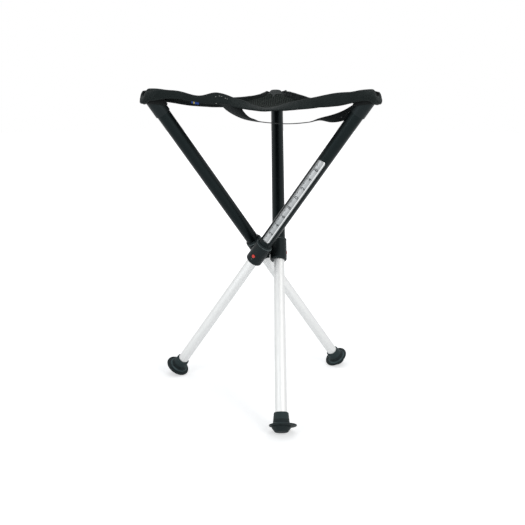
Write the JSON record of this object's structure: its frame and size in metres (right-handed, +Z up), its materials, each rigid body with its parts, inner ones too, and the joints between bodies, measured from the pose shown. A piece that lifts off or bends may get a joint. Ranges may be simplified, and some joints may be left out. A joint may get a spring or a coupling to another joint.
{
  "type": "collapsible telescopic stool",
  "caption": "Folding tripod stool with telescopic legs, a central hub, release buttons, rubber feet and a triangular mesh seat.",
  "frame": {"origin": "on the floor, under the middle of the hub", "axes": "+Z up, -Y front (towards the foot of leg C), +X right as seen from the front"},
  "size_m": [0.3745, 0.4177, 0.5502],
  "materials": {
    "black_tube": "satin black anodised",
    "silver_tube": "satin silver anodised",
    "black_plastic": "fine matt",
    "white_nylon": "smooth",
    "black_rubber": "matt",
    "red_plastic": "gloss",
    "spring_steel": "bright",
    "black_cloth": "woven",
    "mesh_cloth": "ribbed mesh",
    "webbing": "webbing",
    "tag_cloth": "woven",
    "silver_foil": "satin foil"
  },
  "bodies": {
    "hub": {"hub_spider": "black_plastic", "pivot_screws": "spring_steel", "thrust_washers": "white_nylon", "seat_panel": "mesh_cloth", "seat_hem_front": "black_cloth", "seat_hem_left": "black_cloth", "seat_hem_right": "black_cloth", "carrying_strap": "webbing", "sewn_tag": "tag_cloth"},
    "leg_c": {"outer_tube_c": "black_tube", "collar_c": "black_plastic", "top_cap_c": "black_plastic", "seat_pocket_c": "black_cloth"},
    "lower_c": {"inner_tube_c": "silver_tube", "guide_bush_c": "white_nylon", "latch_spring_c": "spring_steel", "foot_c": "black_rubber"},
    "button_c": {"release_button_c": "red_plastic"},
    "leg_a": {"outer_tube_a": "black_tube", "collar_a": "black_plastic", "top_cap_a": "black_plastic", "seat_pocket_a": "black_cloth", "tube_label": "silver_foil"},
    "lower_a": {"inner_tube_a": "silver_tube", "guide_bush_a": "white_nylon", "latch_spring_a": "spring_steel", "foot_a": "black_rubber"},
    "button_a": {"release_button_a": "red_plastic"},
    "leg_b": {"outer_tube_b": "black_tube", "collar_b": "black_plastic", "top_cap_b": "black_plastic", "seat_pocket_b": "black_cloth"},
    "lower_b": {"inner_tube_b": "silver_tube", "guide_bush_b": "white_nylon", "latch_spring_b": "spring_steel", "foot_b": "black_rubber"},
    "button_b": {"release_button_b": "red_plastic"}
  },
  "joints": [
    {"name": "fold_c", "type": "hinge", "parent": "hub", "child": "leg_c", "pos_m": [0.0245, 0, 0.26676], "axis": [1, 0, 0], "range_deg": [0, 36.3], "deforming": ["seat_panel", "seat_hem_front", "seat_hem_left", "seat_hem_right", "carrying_strap", "sewn_tag"]},
    {"name": "fold_a", "type": "hinge", "parent": "hub", "child": "leg_a", "pos_m": [-0.01225, -0.02122, 0.26676], "axis": [-0.5, -0.866, 0], "range_deg": [0, 36.3]},
    {"name": "fold_b", "type": "hinge", "parent": "hub", "child": "leg_b", "pos_m": [-0.01225, 0.02122, 0.26676], "axis": [-0.5, 0.866, 0], "range_deg": [0, 36.3]},
    {"name": "telescope_c", "type": "slide", "parent": "leg_c", "child": "lower_c", "axis": [0, 0.592, 0.8059], "range_m": [0, 0.268], "deforming": ["latch_spring_c"]},
    {"name": "telescope_a", "type": "slide", "parent": "leg_a", "child": "lower_a", "axis": [0.5127, -0.296, 0.8059], "range_m": [0, 0.268], "deforming": ["latch_spring_a"]},
    {"name": "telescope_b", "type": "slide", "parent": "leg_b", "child": "lower_b", "axis": [-0.5127, -0.296, 0.8059], "range_m": [0, 0.268], "deforming": ["latch_spring_b"]},
    {"name": "press_button_c", "type": "slide", "parent": "leg_c", "child": "button_c", "axis": [-1, 0, 0], "range_m": [0, 0.002], "stiffness_N_per_m": 800, "springref_m": -0.001},
    {"name": "press_button_a", "type": "slide", "parent": "leg_a", "child": "button_a", "axis": [0.5, 0.866, 0], "range_m": [0, 0.002], "stiffness_N_per_m": 800, "springref_m": -0.001},
    {"name": "press_button_b", "type": "slide", "parent": "leg_b", "child": "button_b", "axis": [0.5, -0.866, 0], "range_m": [0, 0.002], "stiffness_N_per_m": 800, "springref_m": -0.001}
  ],
  "couplings": [
    {"joint": "fold_a", "follows": "fold_c", "ratio": 1},
    {"joint": "fold_b", "follows": "fold_c", "ratio": 1}
  ]
}
